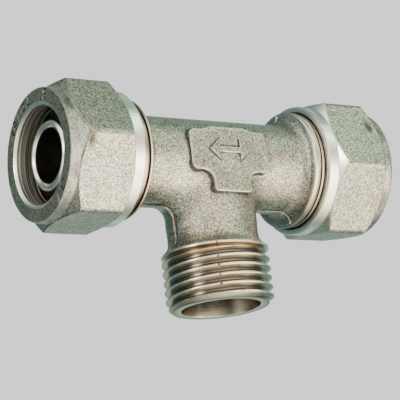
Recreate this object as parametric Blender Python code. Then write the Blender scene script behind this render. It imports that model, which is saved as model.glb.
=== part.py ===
"""Compression tee for 18 x 2 mm multilayer pipe, with a G 1/2 male branch.

The tee stands on its branch: the branch axis is +Z, the run axis is parallel to X,
and the origin is the centre of the branch's end face. Both ends of the run carry
the same pieces, turned to face outwards. Sizes are in millimetres, and each mesh
is scaled to metres as it is made.
"""

import math

import bmesh
import bpy
from mathutils import Matrix, Vector

MM = 0.001
SIDES = 28                  # flats around a turned surface
STEM_SIDES = 24
BRANCH_SIDES = 36
GAP = 0.3                   # clearance left between touching pieces
OVER = 1.0                  # how far a cutter passes the surface it opens

# Forged tee
RUN_HEIGHT = 28.6           # run axis above the branch's end face
TUBE_R = 8.8                # outside of run and neck
COLLAR_R = 11.6
COLLAR_START = 18.4
FLARE_FILLET_R = 2.27       # the tube sweeps out to the machined collar on this quarter arc
COLLAR_END = {"left": 18.95, "right": 19.85}    # the left end is turned further in
RUN_GROOVE_W = 0.35
RUN_GROOVE_R = 10.7
GUIDE_W = 1.1               # plain band between the groove and the thread
GUIDE_R = 11.45
BODY_END = 28.0
TIP_W = 0.1                 # last step of the run's end face
EDGE = 0.15                 # small turned chamfers
LAND_HALF = 0.8             # trimmed flash land along the die parting plane
LAND_R = 9.0
LAND_END = 17.25            # inside the flare
CROTCH_R = 1.9

# Nut thread, M23 x 1.5
NUT_PITCH = 1.5
MALE_CREST_R = 11.5
MALE_ROOT_R = 10.58
MALE_CREST_W = 0.19
MALE_ROOT_W = 1.25
MALE_START = 21.6
MALE_END = 26.6
FEMALE_MAJOR_R = 11.8
FEMALE_MINOR_R = 10.95
FEMALE_CREST_W = 0.19
FEMALE_ROOT_W = 1.17
FEMALE_START = 21.3
FEMALE_END = 26.0
NUT_THREAD_CENTRE = 19.9    # a ridge's middle, outward along the run, at angle zero

# Branch thread, G 1/2
BRANCH_PITCH = 1.814
BRANCH_CREST_R = 10.478
BRANCH_ROOT_R = 9.316
BRANCH_CREST_W = 0.3
BRANCH_ROOT_W = 1.51
BRANCH_THREAD_END = 10.4
BRANCH_THREAD_LEAD = 1.2    # how fast the ridge rises from its end
BRANCH_RING_R = 10.428
BRANCH_RING_END = 10.8
BRANCH_CONE_END = 12.4
BRANCH_THREAD_CENTRE = 1.36
BRANCH_BORE_R = 7.65
BRANCH_BORE_END = 12.0
BRANCH_CORE_R = 6.7
BRANCH_CORE_START = 13.4

# Bores of the run
RUN_BORE_R = 6.0
SEAT_R = 7.3
SEAT_START = 17.5
SOCKET_R = 9.15
SOCKET_START = 22.8
MOUTH_DEPTH = 0.8           # 45 degree seat for the split ring

# Pad and flow arrow on the front
PAD_Y = -9.3
PAD_ROOT_Y = -6.0
PAD_HALF = 8.7
PAD_TOP = 4.2
PAD_SHOULDER = -3.85
PAD_LEG_HALF = 4.15
PAD_BOTTOM = -8.0
PAD_CORNER_R = 1.2
PAD_INNER_R = 1.6
ARROW_HEIGHT = 0.4
ARROW_HALF = 4.9
ARROW_HEAD = 2.2
ARROW_HEAD_HALF = 1.8
ARROW_SHAFT_HALF = 0.45

# Union nut
NUT_START = 20.77
NUT_END = 36.5
NUT_FLATS = 26.0            # across flats
NUT_CORNER_R = 1.5
NUT_REAR_R = 12.9
NUT_FACE_R = 12.5
NUT_OVER_R = 15.6           # beyond the corners
NUT_BORE_R = 9.4
NUT_BORE_CHAMFER_R = 10.2
NUT_BORE_CHAMFER_W = 0.52
NUT_RELIEF_R = 11.9
NUT_MOUTH_R = 12.2          # the bore's rim at the rear
NUT_EDGE = 0.3
NUT_REAR_CONE = (23.12, 24.72)      # the hexagon's rear corners are turned off here
NUT_FRONT_CONE = (32.5, 34.4)
NUT_RELIEF_END = 28.9
NUT_LAND_START = 29.2       # short plain bore that the split ring slides in
NUT_CONE_START = 30.7
NUT_CONE_END = 33.4
LEFT_CORNER_DEG = 1.0       # a corner's height above the front, about the run
RIGHT_CORNER_DEG = -9.5

# Split ring
RING_INNER_R = 9.1
RING_OUTER_R = 10.6
RING_START = 27.9
RING_END = 32.6
RING_NOSE_W = 0.4           # flat part of the inner end, before the 45 degree lead
RING_SLIT = 1.0
RING_SLIT_REACH = 6.0       # half the length of the slit's cutter
RING_SLIT_SLANT = math.radians(35.0)

# Stem that the pipe slides over
STEM_BORE_R = 5.24
STEM_HUB_R = 7.0
STEM_START = 17.85
STEM_FLANGE_R = 8.8
STEM_FLANGE_START = 23.1
STEM_FLANGE_END = 24.1
STEM_R = 6.65
STEM_END = 34.7
STEM_TIP = 0.25
GROOVE_BOTTOM_R = 5.9
GROOVE_WIDTH = 1.6
BARREL_GROOVES = {"inner": 28.0, "outer": 31.4}
BARREL_ORING_R = 0.55
BARREL_ORING_CENTRE_R = 6.6
SEAT_GROOVE = 20.1
SEAT_GROOVE_R = 6.05
SEAT_ORING_R = 0.5

# Insulating washer
WASHER_START = 24.4
WASHER_END = 25.4
WASHER_INNER_R = 6.95
WASHER_OUTER_R = 8.85


def clear_scene():
    for thing in list(bpy.data.objects):
        bpy.data.objects.remove(thing, do_unlink=True)


def make_material(name, color, roughness, metallic):
    material = bpy.data.materials.new(name)
    material.use_nodes = True
    shader = material.node_tree.nodes["Principled BSDF"]
    shader.inputs["Base Color"].default_value = (*color, 1.0)
    shader.inputs["Roughness"].default_value = roughness
    shader.inputs["Metallic"].default_value = metallic
    return material


# Turned shapes. A row is one ring of a turned surface: its place along the axis
# and its radius in each column, with the first column repeated at the end.

def ring_rows(points, sides=SIDES):
    return [[point] * (sides + 1) for point in points]


def thread_rows(start, stop, pitch, centre, root, crest, end_r, lead=1.0, sides=SIDES):
    """Rows that follow a right-hand ridge, which meets end_r at both ends.

    root and crest are (radius, width) pairs, and centre is the middle of a ridge
    at angle zero. end_r is no more than the root's radius where the ridge fades
    out, and no less than the crest's where the groove opens out.
    """
    root_r, root_w = root
    crest_r, crest_w = crest
    profile = ((-root_w / 2, root_r), (-crest_w / 2, crest_r),
               (crest_w / 2, crest_r), (root_w / 2, root_r))
    first = math.floor((start - centre) / pitch) - 1
    last = math.ceil((stop - centre) / pitch) + 1
    rows = []
    for turn in range(first, last):
        for offset, radius in profile:
            row = []
            for column in range(sides + 1):
                along = centre + offset + pitch * (turn + column / sides)
                along = min(max(along, start), stop)
                inside = lead * min(along - start, stop - along)
                if end_r > root_r:
                    row.append((along, max(radius, end_r - inside)))
                else:
                    row.append((along, min(radius, end_r + inside)))
            rows.append(row)
    return rows


def turned_mesh(name, rows, loop=False):
    """Mesh of rows turned about Z. A loop's last row joins its first."""
    mesh = bpy.data.meshes.new(name)
    sides = len(rows[0]) - 1
    bm = bmesh.new()
    corners = {}

    def corner(row, column):
        along, radius = row[column]
        turn = 0 if radius < 1e-6 else column % sides
        key = (round(along, 5), round(radius, 5), turn)
        if key not in corners:
            angle = math.tau * turn / sides
            place = Vector((radius * math.cos(angle), radius * math.sin(angle), along))
            corners[key] = bm.verts.new(place * MM)
        return corners[key]

    pairs = list(zip(rows, rows[1:]))
    if loop:
        pairs.append((rows[-1], rows[0]))
    for lower, upper in pairs:
        for column in range(sides):
            a = corner(lower, column)
            b = corner(lower, column + 1)
            c = corner(upper, column + 1)
            d = corner(upper, column)
            for triangle in ((a, b, c), (a, c, d)):
                if len(set(triangle)) == 3:
                    bm.faces.new(triangle)
    bmesh.ops.recalc_face_normals(bm, faces=bm.faces)
    bm.to_mesh(mesh)
    bm.free()
    mesh.shade_smooth()
    mesh.set_sharp_from_angle(angle=math.radians(30.0))
    return mesh


def solid_rows(points, sides=SIDES):
    """Rows of a solid whose outline runs from the axis out and back to the axis."""
    first = (points[0][0], 0.0)
    last = (points[-1][0], 0.0)
    return ring_rows([first, *points, last], sides)


def plate_mesh(name, outline, low_y, high_y):
    """Mesh of an outline in X and Z, extruded along Y."""
    mesh = bpy.data.meshes.new(name)
    bm = bmesh.new()
    near = [bm.verts.new(Vector((x, low_y, z)) * MM) for x, z in outline]
    face = bm.faces.new(near)
    made = bmesh.ops.extrude_face_region(bm, geom=[face])
    moved = [item for item in made["geom"] if isinstance(item, bmesh.types.BMVert)]
    bmesh.ops.translate(bm, verts=moved, vec=Vector((0.0, high_y - low_y, 0.0)) * MM)
    bmesh.ops.recalc_face_normals(bm, faces=bm.faces)
    bm.to_mesh(mesh)
    bm.free()
    return mesh


def arc(centre, radius, start_deg, end_deg, steps=3):
    points = []
    for step in range(steps + 1):
        angle = math.radians(start_deg + (end_deg - start_deg) * step / steps)
        points.append((centre[0] + radius * math.cos(angle),
                       centre[1] + radius * math.sin(angle)))
    return points


def mirrored(half):
    """Outline from its right half, listed from bottom to top."""
    return half + [(-x, z) for x, z in reversed(half)]


# Objects

def add_object(name, mesh, material, parent=None, cutter=False):
    thing = bpy.data.objects.new(name, mesh)
    bpy.context.scene.collection.objects.link(thing)
    mesh.materials.append(material)
    thing.parent = parent
    if cutter:
        thing.hide_render = True
        thing.display_type = "WIRE"
    return thing


def add_boolean(thing, other, operation):
    modifier = thing.modifiers.new(other.name, "BOOLEAN")
    modifier.operation = operation
    modifier.solver = "EXACT"
    modifier.object = other


def side_empty(side):
    """Empty on the run axis whose +Z points out of one end of the run."""
    empty = bpy.data.objects.new(side + "_axis", None)
    bpy.context.scene.collection.objects.link(empty)
    outward = Matrix(((0, 0, 1), (1, 0, 0), (0, 1, 0)))
    if side == "left":
        outward = Matrix.Rotation(math.pi, 3, "Z") @ outward
    empty.rotation_euler = outward.to_euler()
    empty.location = (0.0, 0.0, RUN_HEIGHT * MM)
    return empty


# Tee body

def run_end(side):
    """Outlines of one end of the run before and after its thread, going outwards."""
    groove_start = COLLAR_END[side]
    groove_end = groove_start + RUN_GROOVE_W
    guide_end = groove_end + GUIDE_W
    inner = arc((COLLAR_START - FLARE_FILLET_R, TUBE_R + FLARE_FILLET_R), FLARE_FILLET_R,
                -90.0, 0.0, 4)
    inner += [(COLLAR_START, COLLAR_R - EDGE), (COLLAR_START + EDGE, COLLAR_R),
              (groove_start, COLLAR_R), (groove_start, RUN_GROOVE_R),
              (groove_end, RUN_GROOVE_R), (groove_end, GUIDE_R),
              (guide_end, GUIDE_R), (guide_end + EDGE, MALE_ROOT_R)]
    outer = [(BODY_END - TIP_W, MALE_ROOT_R), (BODY_END, MALE_ROOT_R - EDGE)]
    return inner, outer


def run_rows():
    thread = dict(pitch=NUT_PITCH, root=(MALE_ROOT_R, MALE_ROOT_W),
                  crest=(MALE_CREST_R, MALE_CREST_W), end_r=MALE_ROOT_R)
    right = thread_rows(MALE_START, MALE_END, centre=NUT_THREAD_CENTRE, **thread)
    left = thread_rows(-MALE_END, -MALE_START,
                       centre=-NUT_THREAD_CENTRE - NUT_PITCH / 2, **thread)
    inner, outer = run_end("right")
    left_inner, left_outer = [[(-along, radius) for along, radius in reversed(outline)]
                              for outline in run_end("left")]
    axis = ring_rows([(-BODY_END, 0.0)])
    tip = ring_rows([(BODY_END, 0.0)])
    return (axis + ring_rows(left_outer) + left + ring_rows(left_inner)
            + ring_rows(inner) + right + ring_rows(outer) + tip)


def run_bore_rows():
    half = [(SEAT_START, RUN_BORE_R), (SEAT_START, SEAT_R),
            (SOCKET_START, SEAT_R), (SOCKET_START, SOCKET_R),
            (BODY_END - MOUTH_DEPTH, SOCKET_R),
            (BODY_END + OVER, SOCKET_R + MOUTH_DEPTH + OVER)]
    other = [(-along, radius) for along, radius in reversed(half)]
    return solid_rows(other + half)


def branch_rows():
    thread = thread_rows(0.0, BRANCH_THREAD_END, BRANCH_PITCH, BRANCH_THREAD_CENTRE,
                         (BRANCH_ROOT_R, BRANCH_ROOT_W), (BRANCH_CREST_R, BRANCH_CREST_W),
                         BRANCH_ROOT_R, BRANCH_THREAD_LEAD, BRANCH_SIDES)
    foot = ring_rows([(0.0, 0.0)], BRANCH_SIDES)
    neck = ring_rows([(BRANCH_THREAD_END + TIP_W, BRANCH_RING_R),
                      (BRANCH_RING_END, BRANCH_RING_R),
                      (BRANCH_CONE_END, TUBE_R), (RUN_HEIGHT, TUBE_R),
                      (RUN_HEIGHT, 0.0)], BRANCH_SIDES)
    return foot + thread + neck


def branch_bore_rows():
    outline = [(-OVER, BRANCH_BORE_R + EDGE + OVER), (EDGE, BRANCH_BORE_R),
               (BRANCH_BORE_END, BRANCH_BORE_R), (BRANCH_CORE_START, BRANCH_CORE_R),
               (RUN_HEIGHT, BRANCH_CORE_R)]
    return solid_rows(outline, BRANCH_SIDES)


def land_outline():
    """Trimmed flash land in the parting plane: under the run and down the neck."""
    corner = (LAND_R + CROTCH_R, RUN_HEIGHT - LAND_R - CROTCH_R)
    half = [(LAND_R, BRANCH_CONE_END)]
    half += arc(corner, CROTCH_R, 180.0, 90.0)
    half += [(LAND_END, RUN_HEIGHT - LAND_R), (LAND_END, RUN_HEIGHT + LAND_R)]
    return mirrored(half)


def pad_outline():
    """T-shaped pad: a wide bar on top and a narrower leg below it."""
    z = RUN_HEIGHT
    round_r = PAD_CORNER_R
    inner_r = PAD_INNER_R
    half = arc((PAD_LEG_HALF - round_r, z + PAD_BOTTOM + round_r), round_r, -90.0, 0.0)
    half += arc((PAD_LEG_HALF + inner_r, z + PAD_SHOULDER - inner_r), inner_r, 180.0, 90.0)
    half += arc((PAD_HALF - round_r, z + PAD_SHOULDER + round_r), round_r, -90.0, 0.0)
    half += arc((PAD_HALF - round_r, z + PAD_TOP - round_r), round_r, 0.0, 90.0)
    return mirrored(half)


def arrow_outline():
    """Double-headed arrow along the run."""
    neck = ARROW_HALF - ARROW_HEAD
    half = [(neck, -ARROW_SHAFT_HALF), (neck, -ARROW_HEAD_HALF), (ARROW_HALF, 0.0),
            (neck, ARROW_HEAD_HALF), (neck, ARROW_SHAFT_HALF)]
    return mirrored([(x, RUN_HEIGHT + z) for x, z in half])


def build_body(axis, metal):
    body = add_object("tee_body", turned_mesh("tee_body", run_rows()), metal, axis)
    branch = add_object("branch_stock", turned_mesh("branch_stock", branch_rows()),
                        metal, cutter=True)
    plates = (("land_stock", land_outline(), -LAND_HALF, LAND_HALF),
              ("pad_stock", pad_outline(), PAD_Y, PAD_ROOT_Y),
              ("arrow_stock", arrow_outline(), PAD_Y - ARROW_HEIGHT, PAD_Y + OVER))
    add_boolean(body, branch, "UNION")
    for name, outline, low_y, high_y in plates:
        plate = add_object(name, plate_mesh(name, outline, low_y, high_y), metal,
                           cutter=True)
        add_boolean(body, plate, "UNION")
    bores = (("run_bore", run_bore_rows(), axis), ("branch_bore", branch_bore_rows(), None))
    for name, rows, parent in bores:
        bore = add_object(name, turned_mesh(name, rows), metal, parent, cutter=True)
        add_boolean(body, bore, "DIFFERENCE")


# Union nut

def nut_blank_rows():
    """Turned outline that the hexagon is cut to."""
    rear_start, rear_end = NUT_REAR_CONE
    front_start, front_end = NUT_FRONT_CONE
    return solid_rows([(NUT_START, NUT_REAR_R - 1.5 * NUT_EDGE),
                       (NUT_START + NUT_EDGE, NUT_REAR_R),
                       (rear_start, NUT_REAR_R), (rear_end, NUT_OVER_R),
                       (front_start, NUT_OVER_R), (front_end, NUT_REAR_R),
                       (NUT_END - NUT_EDGE, NUT_FACE_R + NUT_EDGE / 1.5),
                       (NUT_END, NUT_FACE_R)])


def nut_bore_rows():
    thread = thread_rows(FEMALE_START, FEMALE_END, NUT_PITCH, NUT_THREAD_CENTRE,
                         (FEMALE_MINOR_R, FEMALE_ROOT_W),
                         (FEMALE_MAJOR_R, FEMALE_CREST_W), NUT_RELIEF_R)
    rear = [(NUT_START - NUT_EDGE, 0.0), (NUT_START - NUT_EDGE, NUT_MOUTH_R + NUT_EDGE)]
    rise = NUT_BORE_CHAMFER_R - NUT_BORE_R
    front = [(NUT_RELIEF_END, NUT_RELIEF_R), (NUT_LAND_START, FEMALE_MINOR_R),
             (NUT_CONE_START, FEMALE_MINOR_R), (NUT_CONE_END, NUT_BORE_R),
             (NUT_END - NUT_BORE_CHAMFER_W, NUT_BORE_R),
             (NUT_END + NUT_BORE_CHAMFER_W, NUT_BORE_R + 2 * rise),
             (NUT_END + NUT_BORE_CHAMFER_W, 0.0)]
    return ring_rows(rear) + thread + ring_rows(front)


def hexagon_mesh(name, corner_deg):
    """Hexagonal bar about Z with rounded corners, one of them at corner_deg.

    A new cone has a corner on +Y, so it is turned back by 90 degrees first.
    """
    mesh = bpy.data.meshes.new(name)
    radius = NUT_FLATS / 2 / math.cos(math.pi / 6)
    bm = bmesh.new()
    bmesh.ops.create_cone(bm, cap_ends=True, segments=6, radius1=radius * MM,
                          radius2=radius * MM, depth=(NUT_END - NUT_START + 2 * OVER) * MM,
                          matrix=Matrix.Rotation(math.radians(corner_deg - 90.0), 4, "Z"))
    upright = [edge for edge in bm.edges
               if abs(edge.verts[0].co.z - edge.verts[1].co.z) > MM]
    bmesh.ops.bevel(bm, geom=upright, affect="EDGES", segments=3, profile=0.5,
                    offset=NUT_CORNER_R * math.tan(math.pi / 6) * MM)
    middle = Vector((0.0, 0.0, (NUT_START + NUT_END) / 2)) * MM
    bmesh.ops.translate(bm, verts=bm.verts, vec=middle)
    bm.to_mesh(mesh)
    bm.free()
    return mesh


def build_nut(side, axis, corner_deg, metal):
    name = side + "_union_nut"
    nut = add_object(name, turned_mesh(name, nut_blank_rows()), metal, axis)
    hexagon = add_object(side + "_hexagon", hexagon_mesh(side + "_hexagon", corner_deg),
                         metal, axis, cutter=True)
    bore = add_object(side + "_nut_bore", turned_mesh(side + "_nut_bore", nut_bore_rows()),
                      metal, axis, cutter=True)
    add_boolean(nut, hexagon, "INTERSECT")
    add_boolean(nut, bore, "DIFFERENCE")


# Pieces inside the nut

def build_split_ring(side, axis, metal):
    shift = GAP / math.sin(math.atan2(FEMALE_MINOR_R - NUT_BORE_R,
                                      NUT_CONE_END - NUT_CONE_START))
    slope = (FEMALE_MINOR_R - NUT_BORE_R) / (NUT_CONE_END - NUT_CONE_START)
    shoulder = NUT_CONE_END - shift - (RING_OUTER_R - NUT_BORE_R) / slope
    nose_r = NUT_BORE_R + slope * (NUT_CONE_END - shift - RING_END)
    lead = RING_OUTER_R - RING_INNER_R - RING_NOSE_W
    outline = [(RING_START, RING_INNER_R), (RING_START, RING_INNER_R + RING_NOSE_W),
               (RING_START + lead, RING_OUTER_R),
               (shoulder, RING_OUTER_R), (RING_END, nose_r), (RING_END, RING_INNER_R)]
    name = side + "_split_ring"
    ring = add_object(name, turned_mesh(name, ring_rows(outline), loop=True), metal, axis)
    half = RING_SLIT / 2
    slit_mesh = plate_mesh(side + "_slit",
                           mirrored([(half, -RING_SLIT_REACH), (half, RING_SLIT_REACH)]),
                           -RING_OUTER_R - OVER, -RING_INNER_R + 2 * OVER)
    slit = add_object(side + "_slit", slit_mesh, metal, axis, cutter=True)
    slit.location = (0.0, 0.0, (RING_START + RING_END) / 2 * MM)
    slit.rotation_euler = (0.0, RING_SLIT_SLANT, 0.0)
    add_boolean(ring, slit, "DIFFERENCE")


def groove(middle, bottom_r, top_r):
    half = GROOVE_WIDTH / 2
    return [(middle - half, top_r), (middle - half, bottom_r),
            (middle + half, bottom_r), (middle + half, top_r)]


def build_stem(side, axis, metal):
    outline = [(STEM_START, STEM_BORE_R), (STEM_START, STEM_HUB_R - STEM_TIP),
               (STEM_START + STEM_TIP, STEM_HUB_R)]
    outline += groove(SEAT_GROOVE, SEAT_GROOVE_R, STEM_HUB_R)
    outline += [(STEM_FLANGE_START, STEM_HUB_R), (STEM_FLANGE_START, STEM_FLANGE_R),
                (STEM_FLANGE_END, STEM_FLANGE_R), (STEM_FLANGE_END, STEM_R)]
    for middle in BARREL_GROOVES.values():
        outline += groove(middle, GROOVE_BOTTOM_R, STEM_R)
    outline += [(STEM_END - STEM_TIP, STEM_R), (STEM_END, STEM_R - STEM_TIP / 2),
                (STEM_END, STEM_BORE_R)]
    name = side + "_stem"
    add_object(name, turned_mesh(name, ring_rows(outline, STEM_SIDES), loop=True), metal, axis)


def build_oring(name, axis, middle, centre_r, thick_r, rubber):
    circle = arc((middle, centre_r), thick_r, 0.0, 300.0, 5)
    add_object(name, turned_mesh(name, ring_rows(circle, STEM_SIDES), loop=True), rubber, axis)


def build_washer(side, axis, plastic):
    outline = [(WASHER_START, WASHER_INNER_R), (WASHER_START, WASHER_OUTER_R),
               (WASHER_END, WASHER_OUTER_R), (WASHER_END, WASHER_INNER_R)]
    name = side + "_insulating_washer"
    add_object(name, turned_mesh(name, ring_rows(outline), loop=True), plastic, axis)


def build_side(side, axis, corner_deg, nickel, brass, rubber, plastic):
    build_nut(side, axis, corner_deg, nickel)
    build_split_ring(side, axis, brass)
    build_stem(side, axis, nickel)
    for place, middle in BARREL_GROOVES.items():
        build_oring(side + "_stem_oring_" + place, axis, middle, BARREL_ORING_CENTRE_R,
                    BARREL_ORING_R, rubber)
    build_oring(side + "_seat_oring", axis, SEAT_GROOVE, (SEAT_GROOVE_R + SEAT_R) / 2,
                SEAT_ORING_R, rubber)
    build_washer(side, axis, plastic)


def main():
    clear_scene()
    nickel = make_material("blasted_nickel", (0.42, 0.40, 0.36), 0.45, 1.0)
    brass = make_material("ring_brass", (0.62, 0.50, 0.30), 0.30, 1.0)
    rubber = make_material("oring_rubber", (0.02, 0.02, 0.02), 0.55, 0.0)
    plastic = make_material("washer_plastic", (0.75, 0.74, 0.70), 0.40, 0.0)
    left_axis, right_axis = side_empty("left"), side_empty("right")
    build_body(right_axis, nickel)
    build_side("left", left_axis, LEFT_CORNER_DEG, nickel, brass, rubber, plastic)
    build_side("right", right_axis, -RIGHT_CORNER_DEG, nickel, brass, rubber, plastic)


main()
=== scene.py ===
"""Looks of a nickel-plated compression tee: a blasted forging, machined ends, union nuts.

Lengths are in millimetres until a mesh is made, and angles that are named values are in
degrees. In names R is a radius, W a width and HALF half a width. A turned piece is drawn
about its own axis: each of its points is a distance along the axis and a radius. On the
run the distance is from the middle of the tee outward, on the branch it is the height.
"""
import math

import bmesh
import bpy
import numpy as np
from mathutils import Matrix, Vector


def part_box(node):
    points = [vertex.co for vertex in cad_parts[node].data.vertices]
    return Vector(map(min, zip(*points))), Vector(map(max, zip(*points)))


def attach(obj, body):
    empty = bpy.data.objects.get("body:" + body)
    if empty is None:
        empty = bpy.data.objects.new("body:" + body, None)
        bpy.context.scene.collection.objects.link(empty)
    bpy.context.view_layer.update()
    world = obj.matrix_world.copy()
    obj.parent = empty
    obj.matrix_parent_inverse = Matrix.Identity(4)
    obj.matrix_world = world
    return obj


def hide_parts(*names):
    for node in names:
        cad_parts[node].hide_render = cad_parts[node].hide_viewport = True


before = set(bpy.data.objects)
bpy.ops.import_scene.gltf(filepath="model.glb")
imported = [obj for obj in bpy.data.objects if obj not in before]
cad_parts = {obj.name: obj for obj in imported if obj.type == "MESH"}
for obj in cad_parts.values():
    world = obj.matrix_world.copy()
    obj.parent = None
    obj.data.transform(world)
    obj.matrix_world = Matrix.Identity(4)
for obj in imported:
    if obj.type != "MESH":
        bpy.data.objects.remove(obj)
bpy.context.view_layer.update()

MM = 0.001


def cad_mm(node):
    """Lowest and highest corner of a CAD node, in millimetres."""
    low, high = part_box(node)
    return low / MM, high / MM


# Places read from the frame
BODY_END = cad_mm("tee_body")[1].x
NUT_LOW, NUT_HIGH = cad_mm("right_union_nut")
RING_LOW, RING_HIGH = cad_mm("right_split_ring")
STEM_LOW, STEM_HIGH = cad_mm("right_stem")
WASHER_LOW, WASHER_HIGH = cad_mm("right_insulating_washer")
RUN_Z = (STEM_LOW.z + STEM_HIGH.z) / 2
NUT_START, NUT_END = NUT_LOW.x, NUT_HIGH.x
RING_START, RING_END = RING_LOW.x, RING_HIGH.x
STEM_START, STEM_END = STEM_LOW.x, STEM_HIGH.x

# Forging
TUBE_R = 8.8
MACHINED_START = 18.4       # the run's forged skin stops here
FLARE_FILLET = 2.27
FLARE_START = MACHINED_START - FLARE_FILLET
FORGING_REACH = 11.4        # the forged skin stays within this radius
SKIN_OVERLAP = 0.45         # the forged skin runs on this far, hidden under the collar
CROTCH_BLEND = 3.2
LAND_HALF = 0.8             # the trimmed flash land, half its width
LAND_PROUD = 0.2
LAND_EDGE, LAND_FOOT = 0.12, 0.15       # rounding of an edge and of the corner at its foot
CONE_FOOT_R = 10.43
CONE_TOP = 12.4
CONE_BLEND = 0.9
CONE_HIDDEN = 0.8           # the cone runs on this far inside the neck
BRANCH_RING_TOP = 10.8      # the branch's forged skin stops here
PAD_Y = -9.3
PAD_ROOT_Y = -5.0
PAD_EDGE, PAD_FOOT = 0.22, 0.16
PAD_HALF = 8.65
PAD_TOP = 4.2
PAD_SHOULDER = -3.85
PAD_LEG_HALF = 4.15
PAD_BOTTOM = -8.0
PAD_TILT = 0.06             # the pad's sides lean out by this much a millimetre
ARROW_UP = 0.3
ARROW_HALF = 4.6
ARROW_HEAD = 2.3
ARROW_HEAD_HALF = 2.05
ARROW_SHAFT_HALF = 0.55
ARROW_PROUD = 0.4
ARROW_EDGE, ARROW_FOOT = 0.12, 0.1
BORE_EDGE = 0.3
NET_CELL = 0.26             # spacing of the forging's net, on its plain stretches
PAD_CELL = 0.17
RELIEF_CELL = 0.1
SETTLE_STEPS = 4

# Machined ends of the run
COLLAR_R = 11.6
COLLAR_END = {"left": 18.95, "right": 19.85}
RUN_GROOVE_W = 0.35
RUN_GROOVE_R = 10.7
GUIDE_W = 1.1
GUIDE_R = 11.45

# Bores
RUN_BORE_R = 6.0
SEAT_R = 7.3
SEAT_START = 17.5
SEAT_GAP = 0.04             # the forging keeps this clear of the turned seat
SOCKET_R = 9.15
SOCKET_START = 22.8
BRANCH_BORE_R = 7.65
BRANCH_BORE_END = 12.0
BRANCH_CORE_R = 6.7
BRANCH_CORE_START = 13.4

# Threads
NUT_PITCH = 1.5
MALE_CREST_R, MALE_ROOT_R = 11.48, 10.6
FEMALE_MAJOR_R, FEMALE_MINOR_R = 11.8, 10.97
NUT_THREAD_CENTRE = 19.9
BRANCH_PITCH = 1.814
BRANCH_CREST_R, BRANCH_ROOT_R = 10.46, 9.33
BRANCH_THREAD_CENTRE = 1.36
NICK_TURN = -121.0          # where a line of small nicks crosses the crests, degrees
NICK_DEPTH = 0.36
NICK_HALF, NICK_EDGE = 0.252, 0.18
WORN_UP_TO, WORN_DEPTH = 1.8, 0.16      # wear of the branch's last crest
FLANK_STEPS = 3

# Nut
NUT_FLATS = 26.0
NUT_CORNER_R = 1.5
NUT_REAR_R = 12.9
NUT_REAR_W = 2.3            # the round band behind the flats
NUT_REAR_CONE = 3.96        # the cones end this far from the nut's ends
NUT_FRONT_CONE = 4.1
NUT_REAR_SLOPE, NUT_FRONT_SLOPE = 1.66, 1.3
NUT_FRONT_W = 1.95          # the round band in front of the flats
NUT_EDGE = 0.22
NUT_OVER_R = 16.6           # wider than the flats' corners
NUT_FACE_R = 12.5
NUT_BORE_R = 9.42
NUT_CHAMFER_R = 10.0
NUT_CHAMFER_SLOPE = 0.65
NUT_RELIEF_R = 11.9
NUT_CORNER_DEG = {"left": 1.0, "right": 9.5}
NUT_COLUMNS = 540
STAMP_R = 11.4
STAMP_DEPTH = 0.25
# Generic punched marks on the nut's face: where each one is, in degrees, and its shape
STAMPS = ((67.0, "rings"), (101.0, "corner"), (112.0, "box"), (123.0, "slash"),
          (134.0, "rings"), (145.0, "corner"), (247.0, "slash"), (256.0, "slash"),
          (302.0, "slash"), (313.0, "corner"))
DENT_TURN = {"left": -4.0, "right": 150.0}      # a knock on the front cone, degrees
DENT_FROM_END = 3.6
DENT_DEPTH = 0.35
DENT_R = 13.5
DENT_HALF_AROUND, DENT_HALF_ALONG = 1.5, 0.5
SMUDGE = {"left": 0.22, "right": 0.05}          # how dirty the front cone is
REAR_SMUDGE = 0.12

# Split ring
SPLIT_INNER_R = 9.1
SPLIT_NOSE_R = 9.51
SPLIT_WIDEST_R = 10.6
SPLIT_MIDDLE_R = 9.8
SLIT_HALF = 0.5
SLIT_SLANT = 35.0           # degrees off the axis

# Stem, its seals and its washer
STEM_BORE_R = 5.24
STEM_HUB_R = 7.0
STEM_BARREL_R = 6.65
FLANGE_START, FLANGE_END, FLANGE_R = 23.1, 24.1, 8.8
SEAL_GROOVE_HALF = 0.8
HUB_SEAL_AT, HUB_SEAL_R, HUB_SEAL_THICK, HUB_GROOVE_R = 20.1, 6.675, 0.5, 6.05
BARREL_SEALS_AT = {"inner": 28.0, "outer": 31.4}
BARREL_SEAL_R, BARREL_SEAL_THICK, BARREL_GROOVE_R = 6.6, 0.55, 5.9
WASHER_INNER_R, WASHER_OUTER_R, WASHER_EDGE = 6.95, 8.85, 0.12

# Camera
VIEW_AZIMUTH = -33.7
VIEW_ELEVATION = -15.0
VIEW_ROLL = -6.76
VIEW_TARGET = (-1.9, 0.0, 21.5)
VIEW_DISTANCE = 390.0
VIEW_LENS = 181.4

# Floor, in metres, and light
FLOOR_Z = -0.6
FLOOR_R = 2.4
BACKDROP = (1.25, 1.25, 1.25)
WORLD_BASE = (0.12, 0.20, 0.19)
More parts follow.
